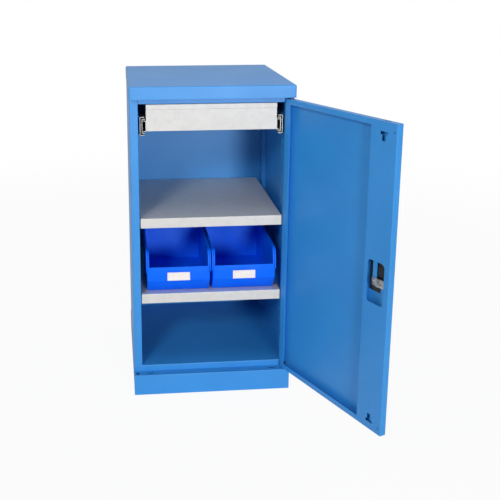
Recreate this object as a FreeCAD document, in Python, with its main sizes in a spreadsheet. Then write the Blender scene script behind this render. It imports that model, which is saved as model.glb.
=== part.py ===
import FreeCAD, Part
import os
import re
import Sketcher

# Steel storage cupboard with one right-hung door, a drawer, two shelves and two bins.
# Millimetres. X runs from left to right, Y from front to back, Z up. The origin is the
# middle of the carcass on the floor. The door is stored open, as far as its rest angle.

SIZES = {
    # Carcass, over everything
    "width": 505,
    "depth": 555,
    "height": 1000,
    "steel": 1.2,
    "bend": 1.0,
    # Frame round the door opening
    "cap_lip": 39,
    "cap_bend": 4,
    "plinth_height": 68,
    "plinth_foot": 25,
    "frame_setback": 33,
    "stile_width": 27,
    "flange": 15,
    "header_bottom": 943,
    "floor_top": 88,
    "floor_rail": 38,
    "side_foot": 28,
    # Door, measured in its own frame: its origin is the pivot axis, X points to the hinge
    # edge, Y points into the cupboard when the door is shut
    "door_thickness": 20,
    "door_setback": 8,
    "door_gap": 1,
    "door_bottom": 71,
    "door_top": 956,
    "door_end_flange": 16,
    "door_hinge_flange": 21,
    "pivot_inset": 12,
    "pivot_back": 15,
    "open_angle": 113,
    "pin_radius": 4,
    "running": 0.05,
    "bush_radius": 6.5,
    "collar_radius": 8,
    "collar_top": 3.5,
    "collar_bottom": 2.4,
    "bush_depth": 6,
    "pin_reach": 8,
    # Lock stile, rods and lock
    "stile_band": 105,
    "rod_inset": 51,
    "rod_width": 15,
    "rod_thick": 3,
    "rod_level": 1,
    "rod_stroke": 18,
    "rod_play": 3,
    "lock_height": 510,
    "window_width": 70,
    "window_height": 122,
    "window_round": 12,
    "window_shift": 4,
    "hat_foot": 12,
    "tee_half": 14.5,
    "tee_bar": 8,
    "tee_length": 25,
    "tee_from_top": 27,
    "tee_from_bottom": 21,
    "hole_radius": 2.5,
    "hole_inset": 12,
    "hole_from_top": 24,
    "hole_from_bottom": 19,
    "rod_tail": 7,
    "rod_straight": 70,
    "rod_stepped": 100,
    "rod_tip_round": 5,
    "guide_near": 60,
    "guide_far": 80,
    "guide_wall": 3,
    "guide_play": 0.4,
    "slot_length": 21,
    "slot_width": 7,
    "spindle_radius": 5,
    "skin_play": 1,
    "plate_half": 38,
    "plate_low": 32,
    "plate_top": 52,
    "plate_thick": 3,
    "housing_half": 28,
    "housing_low": 28,
    "housing_top": 44,
    "housing_high": 6,
    "rosette_radius": 24,
    "rosette_thick": 4,
    "cam_gap": 0.8,
    "cam_thick": 2.5,
    "cam_beyond": 7,
    "cam_end": 6,
    "cam_waist": 8,
    "cam_neck": 12,
    "cam_round": 5,
    "rivet_radius": 4,
    "rivet_high": 2,
    "boss_radius": 12,
    "boss_high": 3,
    "grip_gap": 0.5,
    "grip_half": 34,
    "grip_wide": 7,
    "grip_high": 20,
    "grip_round": 6.5,
    "plug_radius": 5,
    "plug_depth": 12,
    "plug_proud": 0.5,
    "key_half": 0.8,
    "key_tall": 3,
    "key_depth": 8,
    # Wall uprights and shelves
    "upright_depth": 13,
    "upright_width": 50,
    "upright_front": 100,
    "upright_rear": 498,
    "slot_pitch": 32,
    "slots": 25,
    "slot_half": 3,
    "slot_first": 35,
    "slot_tall": 14,
    "shelf_width": 446,
    "shelf_front": 40,
    "shelf_back": 549,
    "shelf_fold": 31,
    "shelf_hem": 12,
    "shelf_corner": 8,
    "shelf_high": 582,
    "shelf_low": 331,
    "clip_reach": 24,
    "clip_width": 20,
    "clip_height": 30,
    "clip_steel": 2,
    # Drawer and its telescopic slides
    "drawer_width": 402,
    "drawer_front": 40,
    "drawer_length": 450,
    "drawer_bottom": 859,
    "drawer_wall": 925,
    "drawer_top": 941,
    "front_step": 2,
    "tray_lip": 9,
    "grip_depth": 12,
    "grip_hem": 9,
    "slide_bottom": 845.5,
    "slide_height": 57,
    "slide_depth": 19,
    "slide_start": 44,
    "slide_steel": 1.5,
    "ball_gap": 4.5,
    "fixed_lip": 5,
    "middle_web": 13,
    "middle_lip": 3.5,
    "inner_lip": 9,
    "carrier_inset": 12,
    # Open-front bins, standing on the lower shelf
    "bin_width": 209,
    "bin_rim": 5,
    "bin_wall": 2.5,
    "bin_front": 36,
    "bin_length": 350,
    "bin_height": 141,
    "bin_spacing": 210,
    "bin_lift": 0.3,
    "lip_height": 74,
    "band_bottom": 43,
    "nose": 37,
    "bin_round": 4,
    "rim_thick": 4,
    "rim_lean": 26,
    "post_width": 6,
    "post_thick": 2,
    "label_width": 72,
    "label_height": 27,
    "label_thick": 0.8,
}

# Names for lengths that several pieces share, written with the sizes above
FRONT = "(-depth / 2)"
FRAME = "(frame_setback - depth / 2)"
INNER = "(width / 2 - 2 * steel)"
OUTER = "(width / 2 - steel)"
BACK = "(depth / 2 - 2 * steel)"
DOOR_HINGE_EDGE = "(pivot_inset - door_gap)"
DOOR_FREE_EDGE = "(pivot_inset - width + door_gap)"
DOOR_OUT = "(door_setback - pivot_back)"
DOOR_IN = "(door_setback + door_thickness - pivot_back)"
ROD_X = f"({DOOR_FREE_EDGE} + rod_inset)"

PLANE_OF_AXIS = {"X": "YZ_Plane", "Y": "XZ_Plane", "Z": "XY_Plane"}

doc = FreeCAD.newDocument("Cupboard")
sheet = doc.addObject("Spreadsheet::Sheet", "Sizes")
for row, (alias, size) in enumerate(SIZES.items(), start=1):
    sheet.set(f"A{row}", str(size))
    sheet.setAlias(f"A{row}", alias)
doc.recompute()

nodes = []


def value(text):
    """The number that an expression over the sheet gives."""
    return float(sheet.evalExpression(str(text)))


def bound(text):
    """An expression with each size name pointing at its cell of the sheet."""
    return re.sub(
        r"[A-Za-z_]\w*",
        lambda name: "Sizes." + name.group(0) if name.group(0) in SIZES else name.group(0),
        str(text),
    )


def new_body(label):
    """An empty body whose label is its node's name."""
    body = doc.addObject("PartDesign::Body", "Body_" + label)
    body.Label = label
    nodes.append(body)
    return body


def origin_feature(body, role):
    """One of the planes or axes of a body's own origin."""
    return next(item for item in body.Origin.OriginFeatures if item.Role == role)


def new_sketch(body, across, level):
    """A sketch square to an axis, at a level along it."""
    sketch = body.newObject("Sketcher::SketchObject", "Outline")
    sketch.AttachmentSupport = (origin_feature(body, PLANE_OF_AXIS[across]), [""])
    sketch.MapMode = "FlatFace"
    sign = "-1 * " if across == "Y" else ""
    sketch.setExpression("AttachmentOffset.Base.z", bound(f"{sign}({level})"))
    return sketch


def fix_points(sketch, wanted):
    """Tie sketch points to the sheet. Each entry is (geometry, point, across, up)."""
    first = sketch.ConstraintCount
    constraints = []
    for geometry, point, across, up in wanted:
        constraints.append(Sketcher.Constraint("DistanceX", -1, 1, geometry, point, value(across)))
        constraints.append(Sketcher.Constraint("DistanceY", -1, 1, geometry, point, value(up)))
    sketch.addConstraint(constraints)
    for index, (geometry, point, across, up) in enumerate(wanted):
        sketch.setExpression(f"Constraints[{first + 2 * index}]", bound(across))
        sketch.setExpression(f"Constraints[{first + 2 * index + 1}]", bound(up))


def draw_loops(sketch, loops):
    """Draw closed outlines of straight edges, each corner tied to the sheet."""
    wanted = []
    joins = []
    start = 0
    for loop in loops:
        corners = [FreeCAD.Vector(value(across), value(up), 0) for across, up in loop]
        count = len(loop)
        for index in range(count):
            edge = Part.LineSegment(corners[index], corners[(index + 1) % count])
            sketch.addGeometry(edge, False)
            following = start + (index + 1) % count
            joins.append(Sketcher.Constraint("Coincident", start + index, 2, following, 1))
            wanted.append((start + index, 1, *loop[index]))
        start += count
    sketch.addConstraint(joins)
    fix_points(sketch, wanted)


def draw_circles(sketch, centres, radius):
    """Draw circles of one radius, tied to the sheet."""
    for across, up in centres:
        middle = FreeCAD.Vector(value(across), value(up), 0)
        sketch.addGeometry(Part.Circle(middle, FreeCAD.Vector(0, 0, 1), value(radius)), False)
    fix_points(sketch, [(index, 3, *centre) for index, centre in enumerate(centres)])
    for index in range(len(centres)):
        number = sketch.addConstraint(Sketcher.Constraint("Radius", index, value(radius)))
        sketch.setExpression(f"Constraints[{number}]", bound(radius))


def extrude(body, kind, across, start, end, draw):
    """Pad or pocket what draw puts in a sketch, between two levels along an axis."""
    towards_end = (kind == "Pad") != (across == "Y")
    sketch = new_sketch(body, across, start if towards_end else end)
    draw(sketch)
    feature = body.newObject("PartDesign::" + kind, kind)
    feature.Profile = sketch
    feature.setExpression("Length", bound(f"({end}) - ({start})"))
    return feature


def pad(body, across, start, end, *loops):
    """Add straight-edged outlines between two levels along an axis."""
    return extrude(body, "Pad", across, start, end, lambda sketch: draw_loops(sketch, loops))


def cut(body, across, start, end, *loops):
    """Cut straight-edged outlines between two levels along an axis."""
    return extrude(body, "Pocket", across, start, end, lambda sketch: draw_loops(sketch, loops))


def pad_round(body, across, start, end, centres, radius):
    """Add round bars between two levels along an axis."""
    return extrude(
        body, "Pad", across, start, end, lambda sketch: draw_circles(sketch, centres, radius)
    )


def cut_round(body, across, start, end, centres, radius):
    """Cut round holes between two levels along an axis."""
    return extrude(
        body, "Pocket", across, start, end, lambda sketch: draw_circles(sketch, centres, radius)
    )


def box_loop(left, right, low, high):
    """The four corners of a rectangle."""
    return [(left, low), (right, low), (right, high), (left, high)]


def flat(point, across):
    """A point's two coordinates on the plane square to an axis."""
    return {"X": (point.y, point.z), "Y": (point.x, point.z), "Z": (point.x, point.y)}[across]


def round_edges(body, along, places, radius):
    """Round the edges that run along an axis through the given places."""
    doc.recompute()
    tip = body.Tip
    wanted = [(value(across), value(up)) for across, up in places]
    names = []
    for number, edge in enumerate(tip.Shape.Edges, start=1):
        ends = [flat(vertex.Point, along) for vertex in edge.Vertexes]
        if len(ends) < 2:
            continue
        for place in wanted:
            if all(abs(end[0] - place[0]) + abs(end[1] - place[1]) < 0.02 for end in ends):
                names.append(f"Edge{number}")
    if not names:
        raise RuntimeError(f"{body.Label}: no edge to round at {places}")
    fillet = body.newObject("PartDesign::Fillet", "Round")
    fillet.Base = (tip, names)
    fillet.setExpression("Radius", bound(radius))
    return fillet


def face_names(body, axis, level):
    """The flat faces of a body's tip that lie at a level along an axis."""
    doc.recompute()
    position = "XYZ".index(axis)
    names = []
    for number, face in enumerate(body.Tip.Shape.Faces, start=1):
        box = face.BoundBox
        low = (box.XMin, box.YMin, box.ZMin)[position]
        high = (box.XMax, box.YMax, box.ZMax)[position]
        if abs(low - value(level)) < 0.01 and abs(high - value(level)) < 0.01:
            names.append(f"Face{number}")
    return names


def shell(body, names, thickness):
    """Hollow a body inwards, open at the named faces."""
    tip = body.Tip
    hollow = body.newObject("PartDesign::Thickness", "Shell")
    hollow.Base = (tip, names)
    hollow.setExpression("Value", bound(thickness))
    hollow.Reversed = True
    hollow.Join = 1
    return hollow


def fold(body, across, start, end, path, side, thickness="steel"):
    """A folded sheet: a path of square turns given its thickness, with bent corners.

    The thickness grows to the left of the path for side 1 and to the right for side -1.
    """
    points = [(value(first), value(second)) for first, second in path]
    count = len(points)
    ways = []
    for index in range(count - 1):
        run = [points[index + 1][part] - points[index][part] for part in (0, 1)]
        length = max(abs(run[0]), abs(run[1]))
        ways.append((round(run[0] / length), round(run[1] / length)))
    normals = [(-side * way[1], side * way[0]) for way in ways]
    offset = []
    for index, (first, second) in enumerate(path):
        near = {max(index - 1, 0), min(index, count - 2)}
        shift = [sum(normals[number][part] for number in near) for part in (0, 1)]
        offset.append(
            (f"{first} + {shift[0]} * {thickness}", f"{second} + {shift[1]} * {thickness}")
        )
    pad(body, across, start, end, path + offset[::-1])
    outside = []
    inside = []
    for index in range(1, count - 1):
        before = ways[index - 1]
        after = ways[index]
        turn = before[0] * after[1] - before[1] * after[0]
        outside.append(path[index] if turn == side else offset[index])
        inside.append(offset[index] if turn == side else path[index])
    round_edges(body, across, outside, f"bend + {thickness}")
    round_edges(body, across, inside, "bend")


def mirrored(side, path):
    """A path on the left (-1) or right (1) of the middle plane."""
    return [(f"{side} * ({first})", second) for first, second in path]


def across_span(side, near, far):
    """A span along X on one side of the middle plane, lower end first."""
    ends = [f"{side} * ({near})", f"{side} * ({far})"]
    return ends if side > 0 else ends[::-1]


def hang_on_door(body):
    """Place a body of the door's frame at the pivot, turned to the rest angle."""
    body.Placement.Rotation = FreeCAD.Rotation(FreeCAD.Vector(0, 0, 1), 1)
    body.setExpression("Placement.Base.x", bound("width / 2 - pivot_inset"))
    body.setExpression("Placement.Base.y", bound("pivot_back - depth / 2"))
    body.setExpression("Placement.Rotation.Angle", bound("open_angle"))


def rod_slots(side):
    """The rod's slot on one side, on the door's middle line, seen from above."""
    middle = f"{side} * (width / 2 - rod_inset - door_gap)"
    line = "(pivot_back + rod_level + rod_thick / 2 - depth / 2)"
    return box_loop(
        f"{middle} - slot_length / 2",
        f"{middle} + slot_length / 2",
        f"{line} - slot_width / 2",
        f"{line} + slot_width / 2",
    )


PIVOTS = [
    (f"{side} * (width / 2 - pivot_inset)", "pivot_back - depth / 2") for side in (-1, 1)
]


def make_cap():
    """The top: a tray turned down, whose front lip returns to the frame."""
    body = new_body("top_cap")
    outline = box_loop("-width / 2", "width / 2", FRONT, "depth / 2")
    pad(body, "Z", "height - cap_lip", "height", outline)
    sides = [("-width / 2", "height"), ("width / 2", "height")]
    round_edges(body, "Y", sides, "cap_bend")
    round_edges(body, "X", [(FRONT, "height")], "cap_bend")
    shell(body, face_names(body, "Z", "height - cap_lip"), "steel")
    low = "height - cap_lip"
    pad(body, "Z", low, f"{low} + steel", box_loop("-width / 2", "width / 2", FRONT, FRAME))
    round_edges(body, "X", [(FRONT, low)], "bend")
    cut(body, "Z", low, f"{low} + steel", rod_slots(-1), rod_slots(1))
    cut_round(body, "Z", low, f"{low} + steel", PIVOTS, "bush_radius")


def make_plinth():
    """The plinth: four walls, a ledge in front of the frame and a foot flange all round."""
    body = new_body("plinth")
    walls = box_loop("-width / 2", "width / 2", FRONT, "depth / 2")
    room = box_loop(f"-{OUTER}", OUTER, f"{FRONT} + steel", "depth / 2 - steel")
    foot = box_loop(
        "plinth_foot - width / 2",
        "width / 2 - plinth_foot",
        f"{FRONT} + plinth_foot",
        "depth / 2 - plinth_foot",
    )
    pad(body, "Z", "0", "plinth_height", walls)
    cut(body, "Z", "0", "plinth_height", room)
    pad(body, "Z", "0", "steel", walls, foot)
    ledge = box_loop("-width / 2", "width / 2", FRONT, FRAME)
    pad(body, "Z", "plinth_height - steel", "plinth_height", ledge)
    round_edges(body, "X", [(FRONT, "plinth_height")], "2 * bend")
    cut(body, "Z", "plinth_height - steel", "plinth_height", rod_slots(-1), rod_slots(1))
    cut_round(body, "Z", "plinth_height - steel", "plinth_height", PIVOTS, "bush_radius")


def make_side(name, side):
    """A side panel: rear flange, wall, front stile and the stile's return."""
    body = new_body(name)
    path = [
        (f"{OUTER} - flange", BACK),
        (OUTER, BACK),
        (OUTER, FRAME),
        ("width / 2 - stile_width", FRAME),
        ("width / 2 - stile_width", f"{FRAME} + flange"),
    ]
    fold(body, "Z", "side_foot", "height - cap_bend - steel", mirrored(side, path), -side)
    near, far = across_span(side, "width / 2 - stile_width - 1", INNER)
    notch = box_loop(near, far, f"{FRAME} - 1", f"{FRAME} + flange + 1")
    cut(body, "Z", "side_foot", "floor_top", notch)


def make_back():
    """The back panel, which closes the sides."""
    body = new_body("back_panel")
    outline = box_loop(f"-{OUTER}", OUTER, BACK, f"{BACK} + steel")
    pad(body, "Z", "side_foot", "height - cap_bend - steel", outline)


def make_header():
    """The rail over the door opening, behind the cap's lip."""
    body = new_body("header_rail")
    path = [
        (f"{FRAME} + flange", "header_bottom"),
        (FRAME, "header_bottom"),
        (FRAME, "height - steel"),
    ]
    fold(body, "X", "stile_width - width / 2", "width / 2 - stile_width", path, -1)


def make_floor():
    """The floor of the cupboard with the bottom rail folded down in front."""
    body = new_body("floor_panel")
    rear = f"{BACK} - 2 * steel"
    path = [
        (FRAME, "floor_top - floor_rail"),
        (FRAME, "floor_top"),
        (rear, "floor_top"),
        (rear, "floor_top - flange"),
    ]
    fold(body, "X", f"-{INNER}", INNER, path, -1)


def make_upright(name, side, start):
    """A slotted channel on a side wall, which carries shelves and drawer slides."""
    body = new_body(name)
    web = f"{INNER} - upright_depth"
    front = f"{FRONT} + {start}"
    rear = f"{FRONT} + {start} + upright_width"
    path = [(INNER, front), (web, front), (web, rear), (INNER, rear)]
    fold(body, "Z", "floor_top", "height - cap_lip", mirrored(side, path), -side)
    middle = f"({FRONT} + {start} + upright_width / 2)"
    near, far = across_span(side, f"{web} - 1", f"{web} + steel + 1")
    first = box_loop(
        f"{middle} - slot_half",
        f"{middle} + slot_half",
        "floor_top + slot_first",
        "floor_top + slot_first + slot_tall",
    )
    slot = cut(body, "X", near, far, first)
    doc.recompute()
    row = body.newObject("PartDesign::LinearPattern", "Slots")
    row.Originals = [slot]
    row.Direction = (origin_feature(body, "Z_Axis"), [""])
    row.setExpression("Length", bound("slot_pitch * (slots - 1)"))
    row.setExpression("Occurrences", bound("slots"))
    body.Tip = row


def make_shelf(name, top):
    """A galvanised shelf: a tray turned down, hemmed along its front."""
    body = new_body(name)
    left = "-shelf_width / 2"
    right = "shelf_width / 2"
    front = f"({FRONT} + shelf_front)"
    back = f"({FRONT} + shelf_back)"
    low = f"{top} - shelf_fold"
    pad(body, "Z", low, top, box_loop(left, right, front, back))
    round_edges(body, "Z", [(left, back), (right, back)], "shelf_corner")
    round_edges(body, "X", [(front, top)], "bend + steel")
    shell(body, face_names(body, "Z", low), "steel")
    hem = box_loop(left, right, front, f"{front} + shelf_hem")
    pad(body, "Z", low, f"{low} + steel", hem)


def make_clips():
    """Eight clips that hook in the uprights and carry the two shelves."""
    body = new_body("shelf_clips")
    web = f"({INNER} - upright_depth)"
    foot = f"({web} - clip_steel)"
    loops = []
    for side in (-1, 1):
        for top in ("shelf_high", "shelf_low"):
            seat = f"({top} - shelf_fold)"
            profile = [
                (web, f"{seat} + clip_height / 3"),
                (foot, f"{seat} + clip_height / 3"),
                (foot, seat),
                (f"{web} - clip_reach", seat),
                (f"{web} - clip_reach", f"{seat} - clip_steel"),
                (f"{foot} - clip_steel", f"{seat} - clip_steel"),
                (foot, f"{seat} - 2 * clip_steel"),
                (foot, f"{seat} - clip_height * 2 / 3"),
                (web, f"{seat} - clip_height * 2 / 3"),
            ]
            loops.append(mirrored(side, profile))
    for start in ("upright_front", "upright_rear"):
        middle = f"({FRONT} + {start} + upright_width / 2)"
        pad(body, "Y", f"{middle} - clip_width / 2", f"{middle} + clip_width / 2", *loops)


def make_carrier(name, side):
    """The channel that carries a drawer slide between a front and a rear upright."""
    body = new_body(name)
    web = f"({INNER} - upright_depth)"
    face = "(drawer_width / 2 + slide_depth)"
    low = "slide_bottom"
    high = "slide_bottom + slide_height"
    path = [(web, high), (face, high), (face, low), (web, low)]
    start = f"{FRONT} + slide_start + carrier_inset"
    end = f"{FRONT} + upright_rear + upright_width"
    fold(body, "Y", start, end, mirrored(side, path), side)


def slide_member(name, side, root, tip, half):
    """One C-shaped member of a slide. Depths run from the drawer's side outwards."""
    body = new_body(name)
    inward = -side if value(root) > value(tip) else side
    middle = "(slide_bottom + slide_height / 2)"
    web = f"(drawer_width / 2 + {root})"
    lip = f"(drawer_width / 2 + {tip})"
    path = [
        (lip, f"{middle} + {half}"),
        (web, f"{middle} + {half}"),
        (web, f"{middle} - {half}"),
        (lip, f"{middle} - {half}"),
    ]
    start = f"{FRONT} + slide_start"
    end = f"{start} + drawer_length"
    fold(body, "Y", start, end, mirrored(side, path), inward, "slide_steel")


def make_slides():
    """Left and right telescopic slides, three nested members each."""
    half = "slide_height / 2"
    pitch = "(slide_steel + ball_gap)"
    for word, side in (("left", -1), ("right", 1)):
        middle_half = f"({half} - {pitch})"
        inner_half = f"({half} - 2 * {pitch})"
        slide_member(f"slide_fixed_{word}", side, "slide_depth", "fixed_lip", half)
        slide_member(f"slide_middle_{word}", side, "middle_web", "middle_lip", middle_half)
        slide_member(f"slide_inner_{word}", side, "0", "inner_lip", inner_half)


def make_drawer():
    """The drawer: a tray with rolled side walls, and a front with a grip strip."""
    front = f"({FRONT} + drawer_front)"
    face = f"({front} + front_step)"
    body = new_body("drawer_tray")
    start = f"{face} + steel"
    end = f"{FRONT} + slide_start + drawer_length"
    half = "drawer_width / 2"
    outline = box_loop(f"-{half}", half, start, end)
    room = box_loop(f"steel - {half}", f"{half} - steel", f"{start} - 1", f"{end} - steel")
    lips = [
        box_loop(*across_span(side, f"{half} - tray_lip", half), start, end) for side in (-1, 1)
    ]
    pad(body, "Z", "drawer_bottom", "drawer_wall", outline)
    cut(body, "Z", "drawer_bottom + steel", "drawer_wall", room)
    pad(body, "Z", "drawer_wall - steel", "drawer_wall", *lips)
    corners = [(f"{sign}{half}", "drawer_bottom") for sign in ("-", "")]
    round_edges(body, "Y", corners, "bend + steel")
    panel = new_body("drawer_front")
    low = "drawer_bottom"
    hem = f"({front} + grip_depth)"
    profile = [
        (face, low),
        (face, "drawer_wall - 1"),
        (front, "drawer_wall + 1"),
        (front, "drawer_top"),
        (hem, "drawer_top"),
        (hem, "drawer_top - grip_hem"),
        (f"{hem} - steel", "drawer_top - grip_hem"),
        (f"{hem} - steel", "drawer_top - steel"),
        (f"{front} + steel", "drawer_top - steel"),
        (f"{front} + steel", "drawer_wall + 1.5"),
        (f"{face} + steel", "drawer_wall - 0.5"),
        (f"{face} + steel", low),
    ]
    pad(panel, "X", f"-{half}", half, profile)
    round_edges(panel, "X", [(front, "drawer_top")], "bend + steel")


def make_bin(name, label_name, side):
    """An open-front bin with a rim and front posts, and the label on its front band."""
    body = new_body(name)
    middle = f"({side} * bin_spacing / 2)"
    floor = "(shelf_low + bin_lift)"
    top = f"({floor} + bin_height)"
    front = f"({FRONT} + bin_front)"
    back = f"({front} + bin_length - bin_rim)"
    left = f"({middle} - bin_width / 2 + bin_rim)"
    right = f"({middle} + bin_width / 2 - bin_rim)"
    scoop = [
        (f"{front} + rim_lean", top),
        (f"{front} + rim_lean * 0.43", f"{top} - 7"),
        (f"{front} + rim_lean * 0.11", f"{top} - 29"),
        (front, f"{floor} + lip_height"),
    ]
    chin = (f"{front} + 2", f"{floor} + band_bottom")
    toe = (f"{front} + nose", floor)
    heel = (back, floor)
    pad(body, "X", left, right, [(back, top), *scoop, chin, toe, heel])
    round_edges(body, "X", [toe, chin, heel], "bin_round")
    doc.recompute()
    opened = []
    for number, face in enumerate(body.Tip.Shape.Faces, start=1):
        normal = face.normalAt(0, 0)
        high = face.BoundBox.ZMin > value(f"{floor} + lip_height") - 1
        if high and abs(normal.x) < 0.5 and face.BoundBox.YMin < value(back) - 1:
            opened.append(f"Face{number}")
    shell(body, opened, "bin_wall")
    under = [(f"{first} + post_thick", f"{second} - rim_thick") for first, second in scoop[::-1]]
    band = [(back, top), *scoop, *under, (back, f"{top} - rim_thick")]
    post = scoop + under
    for near, far in ((f"{left} - bin_rim", left), (right, f"{right} + bin_rim")):
        pad(body, "X", near, far, band)
    for near, far in ((left, f"{left} + post_width"), (f"{right} - post_width", right)):
        pad(body, "X", near, far, post)
    ledge = box_loop(back, f"{back} + bin_rim", f"{top} - rim_thick", top)
    pad(body, "X", f"{left} - bin_rim", f"{right} + bin_rim", ledge)
    label = new_body(label_name)
    low = f"({floor} + (lip_height + band_bottom - label_height) / 2)"
    sheet_loop = box_loop(
        f"{middle} - label_width / 2", f"{middle} + label_width / 2", low, f"{low} + label_height"
    )
    pad(label, "Y", f"{front} - label_thick", front, sheet_loop)


def door_opening(gap):
    """The rectangle inside the door's folded edges, seen square to the door."""
    return box_loop(
        f"{DOOR_FREE_EDGE} + steel",
        f"{DOOR_HINGE_EDGE} - door_hinge_flange",
        f"door_bottom + door_end_flange + {gap}",
        f"door_top - door_end_flange - {gap}",
    )


def rod_exit():
    """The rod's hole in the door's top and bottom edges, seen from above."""
    line = "(rod_level + rod_thick / 2)"
    return box_loop(
        f"{ROD_X} - slot_length / 2",
        f"{ROD_X} + slot_length / 2",
        f"{line} - slot_width / 2",
        f"{line} + slot_width / 2",
    )


def make_door():
    """The door: an outer skin with walls and return flanges all round."""
    body = new_body("door_panel")
    outside = box_loop(DOOR_FREE_EDGE, DOOR_HINGE_EDGE, "door_bottom", "door_top")
    pad(body, "Y", DOOR_OUT, DOOR_IN, outside)
    uprights = [
        (edge, level) for edge in (DOOR_FREE_EDGE, DOOR_HINGE_EDGE) for level in (DOOR_OUT, DOOR_IN)
    ]
    round_edges(body, "Z", uprights, "2 * bend")
    hollow = box_loop(
        f"{DOOR_FREE_EDGE} + steel",
        f"{DOOR_HINGE_EDGE} - steel",
        "door_bottom + steel",
        "door_top - steel",
    )
    cut(body, "Y", f"{DOOR_OUT} + steel", f"{DOOR_IN} - steel", hollow)
    cut(body, "Y", f"{DOOR_IN} - steel", DOOR_IN, door_opening("0"))
    for low, high in (("door_bottom", "door_bottom + steel"), ("door_top - steel", "door_top")):
        cut(body, "Z", low, high, rod_exit())
        cut_round(body, "Z", low, high, [("0", "0")], "pin_radius")
    lock = [(ROD_X, "lock_height")]
    cut_round(body, "Y", DOOR_OUT, f"{DOOR_OUT} + steel", lock, "spindle_radius + skin_play")
    hang_on_door(body)


def tee(level, up):
    """A T-shaped cut-out over the rod: bar at the level, stem pointing up (1) or down (-1)."""
    bar = f"{level} + {up} * tee_bar"
    end = f"{level} + {up} * tee_length"
    return [
        (f"{ROD_X} - tee_half", level),
        (f"{ROD_X} + tee_half", level),
        (f"{ROD_X} + tee_half", bar),
        (f"{ROD_X} + rod_width / 2", bar),
        (f"{ROD_X} + rod_width / 2", end),
        (f"{ROD_X} - rod_width / 2", end),
        (f"{ROD_X} - rod_width / 2", bar),
        (f"{ROD_X} - tee_half", bar),
    ]


def make_lock_stile():
    """The channel down the door's free edge, which hides the rods and the lock."""
    body = new_body("lock_stile")
    band = f"({DOOR_FREE_EDGE} + stile_band)"
    path = [
        (f"{DOOR_FREE_EDGE} + steel", DOOR_IN),
        (band, DOOR_IN),
        (band, f"{DOOR_OUT} + steel"),
        (f"{band} + hat_foot", f"{DOOR_OUT} + steel"),
    ]
    low = "door_bottom + door_end_flange"
    high = "door_top - door_end_flange"
    make_hat(body, path, low, high)
    window = box_loop(
        f"{ROD_X} + window_shift - window_width / 2",
        f"{ROD_X} + window_shift + window_width / 2",
        "lock_height - window_height / 2",
        "lock_height + window_height / 2",
    )
    top_tee = tee("door_top - tee_from_top", -1)
    bottom_tee = tee("door_bottom + tee_from_bottom", 1)
    cut(body, "Y", f"{DOOR_IN} - steel", DOOR_IN, window, top_tee, bottom_tee)
    round_edges(body, "Y", window, "window_round")
    levels = ("door_top - hole_from_top", "door_bottom + hole_from_bottom")
    holes = [(f"{DOOR_FREE_EDGE} + hole_inset", level) for level in levels]
    cut_round(body, "Y", f"{DOOR_IN} - steel", DOOR_IN, holes, "hole_radius")
    hang_on_door(body)


def make_hat(body, path, low, high):
    """Fold the stile: its face, the wall down to the skin and a foot on the skin."""
    face_start, face_end, foot_start, foot_end = path
    points = [
        face_start,
        face_end,
        (face_end[0], f"{foot_start[1]} + steel"),
        (foot_end[0], f"{foot_start[1]} + steel"),
        foot_end,
        (f"{face_end[0]} - steel", foot_start[1]),
        (f"{face_end[0]} - steel", f"{DOOR_IN} - steel"),
        (face_start[0], f"{DOOR_IN} - steel"),
    ]
    pad(body, "Z", low, high, points)
    round_edges(body, "Z", [points[1], points[5]], "bend + steel")
    round_edges(body, "Z", [points[2], points[6]], "bend")


def make_pivots():
    """Two pins fixed in the door and the bushes that they turn in."""
    top = "height - cap_lip"
    ledge = "plinth_height"
    pins = {
        "top": ("door_top - door_end_flange", f"{top} + pin_reach"),
        "bottom": (f"{ledge} - pin_reach", "door_bottom + door_end_flange"),
    }
    for word, (low, high) in pins.items():
        pin = new_body(f"hinge_pin_{word}")
        pad_round(pin, "Z", low, high, [("0", "0")], "pin_radius")
        hang_on_door(pin)
    bushes = {
        "top": (top, f"{top} + bush_depth", f"{top} - collar_top", top),
        "bottom": (f"{ledge} - bush_depth", ledge, ledge, f"{ledge} + collar_bottom"),
    }
    for word, (low, high, collar_low, collar_high) in bushes.items():
        bush = new_body(f"pivot_bush_{word}")
        pad_round(bush, "Z", low, high, [PIVOTS[1]], "bush_radius")
        pad_round(bush, "Z", collar_low, collar_high, [PIVOTS[1]], "collar_radius")
        start = low if word == "bottom" else collar_low
        end = collar_high if word == "bottom" else high
        cut_round(bush, "Z", start, end, [PIVOTS[1]], "pin_radius + running")


def make_rod(name, up):
    """A flat locking rod, stepped sideways from the lock to the line of its exit."""
    body = new_body(name)
    end = "(door_top - rod_play)" if up > 0 else "(door_bottom + rod_play)"
    half = "rod_width / 2"
    near = f"({ROD_X} + rod_stroke * {up})"
    tail = f"lock_height - {up} * rod_tail"
    straight = f"lock_height + {up} * rod_straight"
    stepped = f"lock_height + {up} * rod_stepped"
    outline = [
        (f"{near} - {half}", tail),
        (f"{near} + {half}", tail),
        (f"{near} + {half}", straight),
        (f"{ROD_X} + {half}", stepped),
        (f"{ROD_X} + {half}", end),
        (f"{ROD_X} - {half}", end),
        (f"{ROD_X} - {half}", stepped),
        (f"{near} - {half}", straight),
    ]
    pad(body, "Y", "rod_level", "rod_level + rod_thick", outline)
    tips = [(f"{ROD_X} - {half}", end), (f"{ROD_X} + {half}", end)]
    round_edges(body, "Y", tips, "rod_tip_round")
    hang_on_door(body)


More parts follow.
